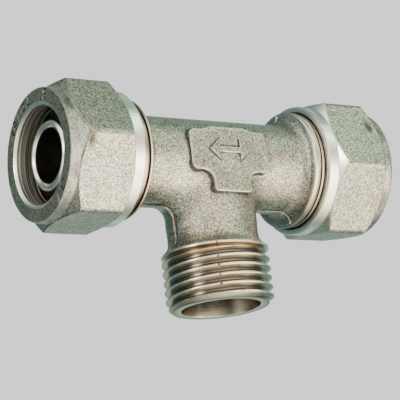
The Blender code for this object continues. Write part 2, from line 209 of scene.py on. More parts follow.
# Each lobe of light is the direction it comes from, its colour and its sharpness
WORLD_LOBES = (
    # broad and warm, from the front and below
    ((0.6, -0.53, -0.6), (4.3, 3.7, 2.75), 7.0),
    ((0.05, -0.97, -0.2), (3.2, 2.7, 2.15), 5.0),
    ((0.0, -0.5, -0.85), (1.6, 1.45, 1.2), 4.0),
    ((-0.55, -0.7, 0.5), (1.5, 1.25, 1.05), 4.5),
    ((-0.52, -0.1, -0.84), (0.6, 0.55, 0.45), 8.0),
    # the long highlight on the tube, and the upper flats
    ((0.54, -0.79, -0.25), (3.0, 3.0, 2.7), 40.0),
    ((0.54, -0.52, 0.65), (2.3, 2.85, 1.95), 22.0),
    # a white card and its spill, at the left
    ((-0.95, -0.16, 0.26), (15.0, 15.0, 14.2), 120.0),
    ((-0.73, 0.09, 0.67), (2.2, 2.4, 2.0), 25.0),
    ((-0.97, -0.05, -0.23), (2.3, 2.3, 1.9), 25.0),
    # dim and cool, from behind and above
    ((0.33, 0.8, -0.5), (0.6, 0.66, 0.5), 15.0),
    ((0.6, 0.78, 0.2), (0.26, 0.40, 0.36), 10.0),
    ((0.54, 0.3, 0.8), (0.28, 0.36, 0.26), 12.0),
    ((0.9, 0.35, 0.25), (0.5, 0.8, 0.7), 20.0),
)


# Numbers that vary smoothly

def bell(value, middle, width):
    """1 at the middle, falling away to both sides."""
    return np.exp(-((value - middle) / width) ** 2)


def fade(value, start, width):
    """0 up to the start, then rising to 1 over the width."""
    return np.clip((value - start) / width, 0.0, 1.0)


def full_turn(columns):
    """Angles of evenly spread columns, the last one a whole turn after the first."""
    return np.arange(columns + 1) * (math.tau / columns)


def turn_from(angles, degrees):
    """Angles measured from a place in degrees, within half a turn of it."""
    return np.mod(angles - math.radians(degrees) + math.pi, math.tau) - math.pi


# Meshes

def finish_mesh(name, points, faces, sharp_deg=30.0):
    """Smooth-shaded mesh in metres, with its sharper edges kept sharp."""
    mesh = bpy.data.meshes.new(name)
    mesh.from_pydata((np.asarray(points) * MM).tolist(), [], faces)
    bm = bmesh.new()
    bm.from_mesh(mesh)
    bmesh.ops.recalc_face_normals(bm, faces=bm.faces)
    bm.to_mesh(mesh)
    bm.free()
    mesh.shade_smooth()
    mesh.set_sharp_from_angle(angle=math.radians(sharp_deg))
    return mesh


def placed(points, side):
    """World places of points drawn about an axis: a run end's, or the branch's."""
    x, y, z = np.moveaxis(points, -1, 0)
    if side == "branch":
        return np.stack([x, y, z], -1)
    if side == "right":
        return np.stack([z, x, y + RUN_Z], -1)
    return np.stack([-z, -x, y + RUN_Z], -1)


def rings(points, columns):
    """Rows of plain rings, one for each (along, radius) point."""
    rows = np.array(points, float)[:, None, :]
    return np.repeat(rows, columns + 1, axis=1)


def ridge(start, stop, pitch, centre, profile, end_r, columns, lead=1.0):
    """Rows of a right-hand thread, whose profile is (offset, radius) in one pitch."""
    first = math.floor((start - centre) / pitch) - 1
    last = math.ceil((stop - centre) / pitch) + 1
    turn = np.arange(columns + 1) / columns
    root_r = min(radius for _, radius in profile)
    rows = []
    for count in range(first, last):
        for offset, radius in profile:
            along = centre + offset + pitch * (count + turn)
            along = np.clip(along, start, stop)
            inside = lead * np.minimum(along - start, stop - along)
            if end_r > root_r:
                reach = np.maximum(radius, end_r - inside)
            else:
                reach = np.minimum(radius, end_r + inside)
            rows.append(np.stack([along, reach], -1))
    return np.array(rows)


def thread_profile(pitch, root_r, crest_r, flank_deg, crest_flat):
    """One pitch of a thread with rounded crests and roots, centred on its ridge."""
    depth = crest_r - root_r
    flank = depth * math.tan(math.radians(flank_deg))
    crest = crest_flat / 2
    bend = 0.12 * depth
    half = [(crest * 0.4, crest_r), (crest, crest_r - bend * 0.35)]
    for step in range(1, FLANK_STEPS):
        share = step / FLANK_STEPS
        half.append((crest + flank * share, crest_r - depth * share))
    half.append((crest + flank, root_r + bend * 0.35))
    half.append((min(crest + flank + 0.05, pitch / 2 - 0.01), root_r))
    return [(-along, radius) for along, radius in reversed(half)] + half


def turned(name, rows, side, twist=None, values=None, angles=None):
    """Mesh of rows turned about an axis. twist adds to a point's angle."""
    if angles is None:
        angles = full_turn(rows.shape[1] - 1)
    angle = np.broadcast_to(angles, rows.shape[:2])
    if twist is not None:
        angle = angle + twist(rows[..., 0])
    points = np.stack([rows[..., 1] * np.cos(angle), rows[..., 1] * np.sin(angle),
                       rows[..., 0]], -1)
    return skin(name, placed(points, side), values)


def skin(name, points, values=None):
    """Mesh of a grid whose last row joins its first. Points at one place become one vertex."""
    grid = np.round(points.reshape(-1, 3), 4) + 0.0
    unique, first, place = np.unique(grid, axis=0, return_index=True, return_inverse=True)
    place = place.reshape(points.shape[:2])
    place = np.concatenate([place, place[:1]])
    corners = np.stack([place[:-1, :-1], place[:-1, 1:], place[1:, 1:], place[1:, :-1]], -1)
    faces = []
    for quad in corners.reshape(-1, 4).tolist():
        face = [a for a, b in zip(quad, quad[1:] + quad[:1]) if a != b]
        if len(set(face)) == len(face) and len(face) > 2:
            faces.append(face)
    mesh = finish_mesh(name, unique, faces)
    add_values(mesh, {key: value.reshape(-1)[first] for key, value in (values or {}).items()})
    return mesh


def add_values(mesh, values):
    """Attributes with one number at each vertex."""
    for key, value in values.items():
        attribute = mesh.attributes.new(key, "FLOAT", "POINT")
        attribute.data.foreach_set("value", value.astype(np.float32))


def show(name, mesh, body, nodes, material):
    """Object that stands for CAD nodes and moves with their body."""
    thing = bpy.data.objects.new(name, mesh)
    bpy.context.scene.collection.objects.link(thing)
    mesh.materials.append(material)
    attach(thing, body)
    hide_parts(*nodes)
    return thing


# Distance fields, in millimetres and below zero inside

def soft_min(a, b, width):
    """The lesser of two fields, rounded over a width where they meet."""
    share = np.clip(0.5 + 0.5 * (b - a) / width, 0.0, 1.0)
    return b + (a - b) * share - width * share * (1.0 - share)


def soft_max(a, b, width):
    """The greater of two fields, rounded over a width where they meet."""
    return -soft_min(-a, -b, width)


def box_field(u, v, half_u, half_v, round_r):
    """Rounded rectangle about the origin."""
    du = np.abs(u) - half_u + round_r
    dv = np.abs(v) - half_v + round_r
    outside = np.hypot(np.maximum(du, 0.0), np.maximum(dv, 0.0))
    return outside + np.minimum(np.maximum(du, dv), 0.0) - round_r


def arrow_field(u, v):
    """Double-headed arrow along u."""
    u = np.abs(u)
    v = np.abs(v)
    head_start = ARROW_HALF - ARROW_HEAD
    shaft = np.maximum(u - (head_start + 0.4), v - ARROW_SHAFT_HALF)
    slant = math.hypot(ARROW_HEAD, ARROW_HEAD_HALF)
    point = ((u - ARROW_HALF) * ARROW_HEAD_HALF + v * ARROW_HEAD) / slant
    return np.minimum(shaft, np.maximum(point, head_start - u))


def pad_outline(x, up):
    """Outline of the raised pad: a wide bar with a narrower leg under it."""
    bar_half = (PAD_TOP - PAD_SHOULDER) / 2
    bar = box_field(x, up - PAD_TOP + bar_half, PAD_HALF, bar_half, 1.2)
    leg_half = (PAD_TOP - PAD_BOTTOM) / 2
    leg = box_field(x, up - PAD_TOP + leg_half, PAD_LEG_HALF, leg_half, 0.8)
    return soft_min(bar, leg, 2.6)


def flared_run(along, run_r):
    """The tube, with a concave flare up to the collar at each end."""
    past = np.maximum(along - FLARE_START, 0.0)
    below = TUBE_R + FLARE_FILLET - run_r
    return np.maximum(FLARE_FILLET - np.hypot(past, np.maximum(below, 0.0)), -below)


def coned_neck(neck_r, z, up):
    """The neck, widening into a short cone over the branch's thread."""
    slope = (CONE_FOOT_R - TUBE_R) / (CONE_TOP - BRANCH_RING_TOP)
    cone = (neck_r - TUBE_R - slope * (CONE_TOP - z)) / math.hypot(1.0, slope)
    cone = np.maximum(cone, z - CONE_TOP - CONE_HIDDEN)
    return np.maximum(soft_min(neck_r - TUBE_R, cone, CONE_BLEND), up)


def bores(along, run_r, neck_r, z, up):
    """The way through the run with its two seats, and the way up the branch."""
    seat = np.maximum(run_r - SEAT_R - SEAT_GAP, SEAT_START - along)
    run_bore = np.minimum(run_r - RUN_BORE_R, seat)
    step = np.interp(z, [BRANCH_BORE_END, BRANCH_CORE_START], [BRANCH_BORE_R, BRANCH_CORE_R])
    return np.minimum(run_bore, np.maximum(neck_r - step, up))


def forging_field(x, y, z):
    """The whole forging between its machined ends."""
    up = z - RUN_Z
    along = np.abs(x)
    run_r = np.hypot(y, up)
    neck_r = np.hypot(x, y)
    body = soft_min(flared_run(along, run_r), coned_neck(neck_r, z, up), CROTCH_BLEND)
    land = soft_max(body - LAND_PROUD, np.abs(y) - LAND_HALF, LAND_EDGE)
    body = soft_min(body, land, LAND_FOOT)
    front = np.maximum(PAD_Y - y, y - PAD_ROOT_Y)
    pad = soft_max(pad_outline(x, up) - PAD_TILT * (y - PAD_Y), front, PAD_EDGE)
    body = soft_min(body, pad, PAD_FOOT)
    arrow = soft_max(arrow_field(x, up - ARROW_UP), np.abs(y - PAD_Y) - ARROW_PROUD, ARROW_EDGE)
    body = soft_min(body, arrow, ARROW_FOOT)
    body = soft_max(body, -bores(along, run_r, neck_r, z, up), BORE_EDGE)
    return np.maximum(body, np.maximum(along - MACHINED_START - SKIN_OVERLAP,
                                       BRANCH_RING_TOP - z))


def graded_axis(stretches):
    """Places along an axis from (start, stop, spacing) stretches that follow each other."""
    places = []
    for start, stop, spacing in stretches:
        count = max(1, round((stop - start) / spacing))
        places.append(np.linspace(start, stop, count, endpoint=False))
    return np.append(np.concatenate(places), stretches[-1][1])


def edge_ends(axis, rest):
    """Slices of both ends of a grid's edges along an axis, its other axes cut to rest."""
    lower, upper = [rest] * 3, [rest] * 3
    lower[axis], upper[axis] = slice(None, -1), slice(1, None)
    return tuple(lower), tuple(upper)


def cell_points(value, axes):
    """A point in each cell that the surface crosses, and the points' numbers by cell."""
    sign = value < 0.0
    cells = tuple(n - 1 for n in value.shape)
    total = np.zeros(cells + (3,))
    count = np.zeros(cells)
    for axis in range(3):
        others = [i for i in range(3) if i != axis]
        lower, upper = edge_ends(axis, slice(None))
        a, b = value[lower], value[upper]
        crossed = sign[lower] != sign[upper]
        share = np.where(crossed, a / np.where(a == b, 1.0, a - b), 0.0)
        for du, dv in np.ndindex(2, 2):
            pick = [slice(None)] * 3
            pick[others[0]] = slice(du, du + cells[others[0]])
            pick[others[1]] = slice(dv, dv + cells[others[1]])
            hit = crossed[tuple(pick)]
            count += hit
            total[..., axis] += np.where(hit, share[tuple(pick)], 0.0)
            total[..., others[0]] += hit * du
            total[..., others[1]] += hit * dv
    used = count > 0
    index = np.full(cells, -1)
    index[used] = np.arange(used.sum())
    place = np.stack(np.nonzero(used), -1) + total[used] / count[used][:, None]
    points = np.stack([np.interp(place[:, i], np.arange(len(axes[i])), axes[i])
                       for i in range(3)], -1)
    return points, index


def crossing_quads(value, index):
    """A quad round each edge that the surface crosses, facing outward."""
    sign = value < 0.0
    faces = []
    for axis in range(3):
        u, v = (axis + 1) % 3, (axis + 2) % 3
        lower, upper = edge_ends(axis, slice(1, -1))
        flip = sign[lower] != sign[upper]
        at = np.stack(np.nonzero(flip), -1)
        at[:, [u, v]] += 1
        ring = []
        for du, dv in ((1, 1), (0, 1), (0, 0), (1, 0)):
            near = at.copy()
            near[:, u] -= du
            near[:, v] -= dv
            ring.append(index[tuple(near.T)])
        quads = np.stack(ring, -1)
        inward = ~sign[lower][flip]
        quads[inward] = quads[inward][:, ::-1]
        faces.append(quads)
    return np.concatenate(faces)


def field_net(field, axes):
    """Vertices and quads of a field's zero surface, one vertex in each crossed cell."""
    value = field(*np.meshgrid(*axes, indexing="ij"))
    points, index = cell_points(value, axes)
    cell = min(np.diff(axis).min() for axis in axes)
    return settled(field, points, cell), crossing_quads(value, index).tolist()


def settled(field, points, cell):
    """Points moved onto the field's zero surface."""
    reach = 0.02
    for _ in range(SETTLE_STEPS):
        value = field(*points.T)
        slope = np.empty_like(points)
        for axis in range(3):
            shift = np.zeros(3)
            shift[axis] = reach
            rise = field(*(points + shift).T) - field(*(points - shift).T)
            slope[:, axis] = rise / (2 * reach)
        size = np.maximum((slope ** 2).sum(-1), 0.25)
        move = slope * (value / size)[:, None]
        length = np.maximum(np.linalg.norm(move, axis=-1, keepdims=True), 1e-9)
        points = points - move * np.minimum(1.0, cell * 0.5 / length)
    return points


def creases(field, points, reach):
    """How sharply a surface bends: above zero on its edges, below zero in its corners."""
    total = -6.0 * field(*points.T)
    for axis in range(3):
        shift = np.zeros(3)
        shift[axis] = reach
        total += field(*(points + shift).T) + field(*(points - shift).T)
    return total / reach ** 2


# Pieces

def forging_axes():
    """Places of the forging's net: finer over the pad, finest through its relief."""
    margin = NET_CELL * 1.5
    end = MACHINED_START + margin
    pad_end = PAD_HALF + 0.5
    x_axis = graded_axis([(-end, -pad_end, NET_CELL), (-pad_end, pad_end, PAD_CELL),
                          (pad_end, end, NET_CELL)])
    relief_start, relief_end = PAD_Y - ARROW_PROUD - 0.25, PAD_Y + 0.4
    y_axis = graded_axis([(-FORGING_REACH, relief_start, NET_CELL),
                          (relief_start, relief_end, RELIEF_CELL),
                          (relief_end, FORGING_REACH, NET_CELL)])
    pad_low, pad_high = RUN_Z + PAD_BOTTOM - 0.5, RUN_Z + PAD_TOP + 0.5
    z_axis = graded_axis([(BRANCH_RING_TOP - margin, pad_low, NET_CELL),
                          (pad_low, pad_high, PAD_CELL),
                          (pad_high, RUN_Z + FORGING_REACH, NET_CELL)])
    return x_axis, y_axis, z_axis


def forging_masks(points):
    """Where the forging is turned, worn and painted bright, painted dark in its corners, and
    painted lighter where tube and neck join on the left.
    """
    x, y, z = points.T
    up = z - RUN_Z
    bore = np.minimum(np.hypot(y, up) - SEAT_R, np.maximum(np.hypot(x, y) - BRANCH_BORE_R, up))
    # Bent edges are painted bright, as wear and as a painted highlight; corners get painted shade.
    edge = fade(creases(forging_field, points, 0.22), 0.9, 2.6)
    corner = fade(-creases(forging_field, points, 0.36), 0.6, 1.2)
    # The pad's border is painted bright, partly as wear and partly as a painted highlight. Its
    # foot gets a painted shadow, over a wider strip toward the right.
    around = pad_outline(x, up)
    rim_wear_and_highlight = 0.7 * bell(around, -0.25, 0.2) * (y < PAD_Y + 0.15)
    foot_shade_at = np.interp(x, [0.0, PAD_HALF], [0.3, 0.95])
    painted_foot_shade = 0.55 * bell(around, foot_shade_at, 0.3) * ((around > 0.1) & (y < PAD_Y + 2.2))
    between = np.abs(np.hypot(y, up) - np.hypot(x, y))
    # Painted light: a lighter patch where tube and neck join, on the left.
    painted_crotch_light = bell(between, 3.9, 1.9) * fade(-x, 4.2, 2.5) * fade(-up, 4.2, 2.5) * (y < -1.5)
    return {"machined": np.where(bore < 0.06, 1.0, 0.0), "painted_crotch_light": painted_crotch_light,
            "edge": np.maximum(edge, rim_wear_and_highlight), "painted_crevice_shade": np.maximum(corner, painted_foot_shade)}


def build_forging(material):
    """The forged tee: one skin with its pad, arrow, flash land and bores."""
    points, faces = field_net(forging_field, forging_axes())
    mesh = finish_mesh("tee_forging", points, faces, 50.0)
    add_values(mesh, forging_masks(points))
    show("tee_forging", mesh, "tee", ["tee_body"], material)


def build_run_end(side, material):
    """The collar, a groove, the guide that centres the nut, its thread and the stem's socket."""
    columns = 160
    start = MACHINED_START
    groove = COLLAR_END[side]
    guide = groove + RUN_GROOVE_W
    thread = guide + GUIDE_W + 0.2
    profile = thread_profile(NUT_PITCH, MALE_ROOT_R, MALE_CREST_R, 30.0, 0.2)
    outer = [(start, RUN_GROOVE_R + 0.1), (start, COLLAR_R - 0.42),
             (start + 0.04, COLLAR_R - 0.22), (start + 0.12, COLLAR_R - 0.08),
             (start + 0.22, COLLAR_R), (groove - 0.1, COLLAR_R), (groove - 0.03, COLLAR_R - 0.04),
             (groove, COLLAR_R - 0.12), (groove, RUN_GROOVE_R), (guide, RUN_GROOVE_R),
             (guide, GUIDE_R - 0.15), (guide + 0.05, GUIDE_R - 0.04), (guide + 0.12, GUIDE_R),
             (thread - 0.35, GUIDE_R), (thread - 0.05, RUN_GROOVE_R)]
    inner = [(BODY_END - 0.1, MALE_ROOT_R), (BODY_END, MALE_ROOT_R - 0.15),
             (BODY_END, SOCKET_R + 0.8), (BODY_END - 0.8, SOCKET_R), (SOCKET_START, SOCKET_R),
             (SOCKET_START, SEAT_R), (start, SEAT_R)]
    turns = ridge(thread, BODY_END - 1.4, NUT_PITCH, NUT_THREAD_CENTRE, profile, MALE_ROOT_R,
                  columns)
    rows = np.concatenate([rings(outer, columns), turns, rings(inner, columns)])
    along, radius = np.moveaxis(rows, -1, 0)
    # Darker past the collar, most in the hollows, as staining and painted shade, and a little all
    # over the underside as painted shade.
    stain_and_shade = np.where(along < groove, 0.0, np.where(radius < COLLAR_R - 0.5, 1.0, 0.5))
    under = 0.4 * np.clip(-1.7 * np.sin(full_turn(columns)) - 0.3, 0.0, 1.0)
    stain_and_shade = np.maximum(stain_and_shade, under[None, :])
    mesh = turned(side + "_run_end", rows, side, values={"stain_and_shade": stain_and_shade})
    show(side + "_run_end", mesh, "tee", ["tee_body"], material)


def nicked(rows, columns):
    """Branch rows with a line of nicks across the crests and a worn last crest."""
    along, radius = rows[..., 0], rows[..., 1]
    angle = full_turn(columns)
    off = turn_from(angle, NICK_TURN)
    # The nicks' line wanders a little and their depth changes from crest to crest
    crest = fade(radius, BRANCH_CREST_R - 0.5, 0.4)
    across = np.abs(off * BRANCH_CREST_R + 0.06 * np.sin(7.0 * along))
    deep = NICK_DEPTH * (0.6 + 0.4 * np.sin(5.0 * along + 1.0))
    cut = deep * crest * np.clip((NICK_HALF - across) / NICK_EDGE, 0.0, 1.0)
    ripple = np.sin(41.0 * angle) * np.sin(67.0 * angle + 2.0 * along) * np.sin(23.0 * angle + 1.0)
    worn = bell(off, -0.1, 0.35) * (along < WORN_UP_TO) * crest
    cut = cut + WORN_DEPTH * worn * np.clip(ripple * 1.6, 0.0, 1.0)
    changed = rows.copy()
    changed[..., 1] -= cut
    return changed, fade(cut, 0.0, 0.12)


def build_branch_end(material):
    """The branch's thread, the plain ring over it and its bore."""
    columns = 360
    profile = thread_profile(BRANCH_PITCH, BRANCH_ROOT_R, BRANCH_CREST_R, 27.5, 0.24)
    top = BRANCH_RING_TOP
    outer = [(top - 0.34, BRANCH_CREST_R - 0.1), (top - 0.26, BRANCH_CREST_R - 0.02),
             (top - 0.08, BRANCH_CREST_R - 0.02), (top, CONE_FOOT_R)]
    inner = [(top, BRANCH_BORE_R), (0.25, BRANCH_BORE_R), (0.08, BRANCH_BORE_R + 0.05),
             (0.0, BRANCH_BORE_R + 0.18)]
    thread = ridge(0.0, top - 0.4, BRANCH_PITCH, BRANCH_THREAD_CENTRE, profile,
                   BRANCH_ROOT_R, columns, 1.2)
    rows = np.concatenate([thread, rings(outer, columns), rings(inner, columns)])
    # Dark in the bore and the thread's roots, as painted shade and staining; bright on the crests
    # and the end face
    shade_and_stain_by_radius = ((BRANCH_BORE_R, 0.84), (BRANCH_BORE_R + 0.15, 0.0), (BRANCH_ROOT_R, 1.0),
                       (BRANCH_ROOT_R + 0.25, 0.5), (BRANCH_CREST_R - 0.3, 0.35),
                       (BRANCH_CREST_R - 0.02, 0.0))
    stain_and_shade = np.interp(rows[..., 1], *zip(*shade_and_stain_by_radius))
    stain_and_shade = np.where(rows[..., 0] > top - 1.3, np.minimum(stain_and_shade, 0.5), stain_and_shade)
    rows, cut = nicked(rows, columns)
    # The nicks and the worn crest's pits are darkened too, as painted shade.
    mesh = turned("branch_end", rows, "branch", values={"stain_and_shade": np.maximum(stain_and_shade, cut * 0.9)})
    show("branch_end", mesh, "tee", ["tee_body"], material)


def hexagon_reach(angles, corner):
    """Radius of a rounded hexagon at each angle, with a corner at one of them."""
    half = NUT_FLATS / 2
    turn = np.mod(angles - corner, math.pi / 3) - math.pi / 6
    flat = half / np.cos(turn)
    centre = (half - NUT_CORNER_R) / math.cos(math.pi / 6)
    off = math.pi / 6 - np.abs(turn)
    under = np.maximum(NUT_CORNER_R ** 2 - (centre * np.sin(off)) ** 2, 0.0)
    rounded = centre * np.cos(off) + np.sqrt(under)
    touch = (half - NUT_CORNER_R) * math.tan(math.pi / 6)
    return np.where(flat * np.sin(np.abs(turn)) > touch, np.minimum(flat, rounded), flat)


def stamped(angles, radius):
    """How deep the punched marks on the nut's face are, from 0 to 1."""
    depth = np.zeros(np.broadcast(angles, radius).shape)
    for centre, shape in STAMPS:
        u, v = turn_from(angles, centre) * STAMP_R, radius - STAMP_R
        if shape == "rings":
            mark = np.abs(np.hypot(u, np.abs(v) - 0.45) - 0.4) - 0.17
        elif shape == "slash":
            mark = np.maximum(np.abs(u + 0.35 * v) - 0.2, np.abs(v) - 1.0)
        elif shape == "corner":
            stem = np.maximum(np.abs(u + 0.4) - 0.18, np.abs(v) - 0.85)
            mark = np.minimum(stem, np.maximum(np.abs(v + 0.67) - 0.18, np.abs(u) - 0.58))
        else:
            mark = np.abs(np.maximum(np.abs(u) - 0.5, np.abs(v) - 0.7)) - 0.16
        depth = np.maximum(depth, np.clip(0.5 - mark / 0.16, 0.0, 1.0))
    return depth


def nut_blank():
    """Outline of the nut before its flats are cut, from its mouth to its front face."""
    rear, front = NUT_START, NUT_END
    collar_r = NUT_REAR_R + 0.02
    outline = [(rear, NUT_REAR_R - 0.4), (rear + 0.1, NUT_REAR_R - 0.15),
               (rear + 0.3, NUT_REAR_R), (rear + NUT_REAR_W, collar_r)]
    outline += [(rear + a, collar_r + (a - NUT_REAR_W - 0.02) * NUT_REAR_SLOPE)
                for a in np.linspace(NUT_REAR_W + 0.06, NUT_REAR_CONE, 20)]
    outline += [(a, NUT_OVER_R) for a in np.linspace(rear + 4.2, front - 4.3, 12)]
    outline += [(front - a, NUT_REAR_R - 0.05 + (a - NUT_FRONT_W) * NUT_FRONT_SLOPE)
                for a in np.linspace(NUT_FRONT_CONE, NUT_FRONT_W, 24)]
    return outline + [(front - 1.2, NUT_REAR_R - 0.12), (front - 0.45, NUT_REAR_R - 0.2),
                      (front - 0.2, NUT_REAR_R - 0.26), (front - 0.06, NUT_FACE_R + 0.06)]


def nut_outside(side, columns):
    """Rows of the nut's outside and its masks: turned, smudged, worn, and painted shade."""
    angles = full_turn(columns)
    reach = hexagon_reach(angles, math.radians(NUT_CORNER_DEG[side]))[None, :]
    rows = rings(nut_blank(), columns)
    along = rows[..., 0].copy()
    spare = reach - rows[..., 1]
    rows[..., 1] = soft_min(rows[..., 1], reach, NUT_EDGE)
    cone = fade(spare, 0.0, 0.12)
    front = along > NUT_END - 4.5
    rear = along < NUT_START + 5.0
    rear_cone = rear & (along > NUT_START + NUT_REAR_W + 0.05)
    front_band = along > NUT_END - NUT_FRONT_W - 0.05
    machined = np.maximum(cone * rear, 0.15 * front_band)
    # Bright wear runs along the flats' edges and round the front face
    face_edge = np.abs(along - NUT_END + 0.13) < 0.1
    wear = np.maximum(0.8 * bell(spare, 0.0, 0.16), 0.9 * face_edge)
    turn = turn_from(angles, DENT_TURN[side])[None, :]
    knock = (bell(turn, 0.0, DENT_HALF_AROUND / DENT_R)
             * bell(along, NUT_END - DENT_FROM_END, DENT_HALF_ALONG))
    rows[..., 1] -= DENT_DEPTH * knock
    # Painted shade darkens the knock and a line where the flats meet the front cone.
    return rows, {"machined": machined,
                  "tarnish": cone * (SMUDGE[side] * front + REAR_SMUDGE * rear_cone),
                  "edge": wear * (1.0 - machined),
                  "painted_crevice_shade": np.maximum(knock, 0.7 * bell(spare, 0.22, 0.1) * front)}


def build_nut(side, material):
    """The union nut: its outside, punched face, bore, thread and mouth."""
    columns = NUT_COLUMNS
    face = rings([(NUT_END, r) for r in np.linspace(NUT_FACE_R, NUT_CHAMFER_R, 30)], columns)
    pit = stamped(full_turn(columns)[None, :], face[..., 1])
    face[..., 0] -= STAMP_DEPTH * pit
    chamfer_end = NUT_END - (NUT_CHAMFER_R - NUT_BORE_R) * NUT_CHAMFER_SLOPE
    lip = rings([(chamfer_end, NUT_BORE_R), (NUT_END - 1.5, NUT_BORE_R),
                 (NUT_END - 2.3, NUT_BORE_R), (NUT_END - 3.1, NUT_BORE_R)], columns)
    throat = rings([(NUT_END - 5.8, FEMALE_MINOR_R), (NUT_END - 7.3, FEMALE_MINOR_R),
                    (NUT_END - 7.6, NUT_RELIEF_R)], columns)
    female = [(-0.62, FEMALE_MINOR_R), (-0.12, FEMALE_MAJOR_R),
              (0.12, FEMALE_MAJOR_R), (0.62, FEMALE_MINOR_R)]
    thread = ridge(NUT_START + 0.53, NUT_END - 10.5, NUT_PITCH, NUT_THREAD_CENTRE, female,
                   NUT_RELIEF_R, columns)[::-1]
    mouth = rings([(NUT_START, NUT_RELIEF_R - 0.1)], columns)
    # Inside, tarnish and painted shade darken the throat, thread and mouth; the bore's lip gets
    # turning lines, near black between them as painted shade; the punched pits get painted shade.
    tarnish_and_shade_inside = {"machined": 1.0, "tarnish": 0.6}
    parts = [nut_outside(side, columns),
             (face[:-1], {"tarnish": 0.5, "painted_crevice_shade": fade(pit[:-1], 0.0, 0.4)}),
             (face[-1:], {"machined": 1.0}),
             (lip, {"machined": 1.0, "streaked_and_shaded": 0.8}),
             (throat, tarnish_and_shade_inside), (thread, tarnish_and_shade_inside), (mouth, tarnish_and_shade_inside)]
    masks = {key: np.concatenate([np.broadcast_to(values.get(key, 0.0), rows.shape[:2])
                                  for rows, values in parts])
             for key in ("machined", "tarnish", "edge", "painted_crevice_shade", "streaked_and_shaded")}
    mesh = turned(side + "_nut_shell", np.concatenate([rows for rows, _ in parts]), side,
                  values=masks)
    show(side + "_nut_shell", mesh, side + "_nut", [side + "_union_nut"], material)


def build_split_ring(side, material):
    """The compression ring, with a slanting slit whose two ends are closed."""
    columns = 120
    slit = SLIT_HALF / SPLIT_MIDDLE_R
    angles = np.linspace(-math.pi / 2 + slit, 1.5 * math.pi - slit, columns + 1)
    outline = [(RING_START, SPLIT_INNER_R), (RING_START, SPLIT_INNER_R + 0.3),
               (RING_START + 1.05, SPLIT_WIDEST_R - 0.1), (RING_START + 1.2, SPLIT_WIDEST_R),
               (RING_START + 2.6, SPLIT_WIDEST_R), (RING_START + 2.85, SPLIT_WIDEST_R - 0.05),
               (RING_END - 0.1, SPLIT_NOSE_R + 0.03), (RING_END, SPLIT_NOSE_R - 0.06),
               (RING_END, SPLIT_INNER_R + 0.08), (RING_END - 0.08, SPLIT_INNER_R)]
    middle = (RING_START + RING_END) / 2
    slant = math.tan(math.radians(SLIT_SLANT)) / SPLIT_MIDDLE_R

    def twist(along):
        return (along - middle) * -slant

    mesh = turned(side + "_ring", rings(outline, columns), side, twist=twist, angles=angles)
    bm = bmesh.new()
    bm.from_mesh(mesh)
    bmesh.ops.holes_fill(bm, edges=bm.edges, sides=0)
    bmesh.ops.recalc_face_normals(bm, faces=bm.faces)
    bm.to_mesh(mesh)
    bm.free()
    show(side + "_ring", mesh, side + "_ring_carrier", [side + "_split_ring"], material)


def seal_groove(middle, top_r, bottom_r):
    """Outline of a square groove round the stem."""
    start, end = middle - SEAL_GROOVE_HALF, middle + SEAL_GROOVE_HALF
    return [(start, top_r), (start, bottom_r), (end, bottom_r), (end, top_r)]


def build_stem(side, material):
    """The tube that the pipe slides over, from its hub to its rounded tip."""
    columns = 120
    bore_r, hub_r, barrel_r = STEM_BORE_R, STEM_HUB_R, STEM_BARREL_R
    outline = [(STEM_START, bore_r), (STEM_START, hub_r - 0.25), (STEM_START + 0.25, hub_r)]
    outline += seal_groove(HUB_SEAL_AT, hub_r, HUB_GROOVE_R)
    outline += [(FLANGE_START, hub_r), (FLANGE_START, FLANGE_R - 0.1),
                (FLANGE_START + 0.1, FLANGE_R), (FLANGE_END - 0.1, FLANGE_R),
                (FLANGE_END, FLANGE_R - 0.1), (FLANGE_END, barrel_r)]
    for middle in BARREL_SEALS_AT.values():
        outline += seal_groove(middle, barrel_r, BARREL_GROOVE_R)
    outline += [(STEM_END - 0.42, barrel_r), (STEM_END - 0.34, barrel_r - 0.06),
                (STEM_END - 0.04, barrel_r - 0.52), (STEM_END, barrel_r - 0.6),
                (STEM_END, bore_r + 0.6), (STEM_END - 0.04, bore_r + 0.52),
                (STEM_END - 0.34, bore_r + 0.06), (STEM_END - 0.42, bore_r)]
    rows = rings(outline, columns)
    # Painted shade: the bore is darkened.
    stain_and_shade = np.where(rows[..., 1] < bore_r + 0.05, 1.0, 0.0)
    mesh = turned(side + "_stem_tube", rows, side, values={"stain_and_shade": stain_and_shade})
    show(side + "_stem_tube", mesh, "tee", [side + "_stem"], material)


def build_oring(name, node, side, middle, centre_r, thick_r, material):
    """A rubber ring of round section."""
    circle = [(middle + thick_r * math.cos(a), centre_r + thick_r * math.sin(a))
              for a in np.linspace(0.0, math.tau, 20, endpoint=False)]
    mesh = turned(name, rings(circle, 96), side)
    show(name, mesh, "tee", [node], material)


def build_washer(side, material):
    """The plastic washer at the foot of the stem, with its edges broken."""
    start, end = WASHER_LOW.x, WASHER_HIGH.x
    inner_r, outer_r, edge = WASHER_INNER_R, WASHER_OUTER_R, WASHER_EDGE
    outline = [(start, inner_r + edge), (start, outer_r - edge), (start + edge, outer_r),
               (end - edge, outer_r), (end, outer_r - edge), (end, inner_r + edge),
               (end - edge, inner_r), (start + edge, inner_r)]
    mesh = turned(side + "_pipe_washer", rings(outline, 96), side)
    show(side + "_pipe_washer", mesh, "tee", [side + "_insulating_washer"], material)


# Materials

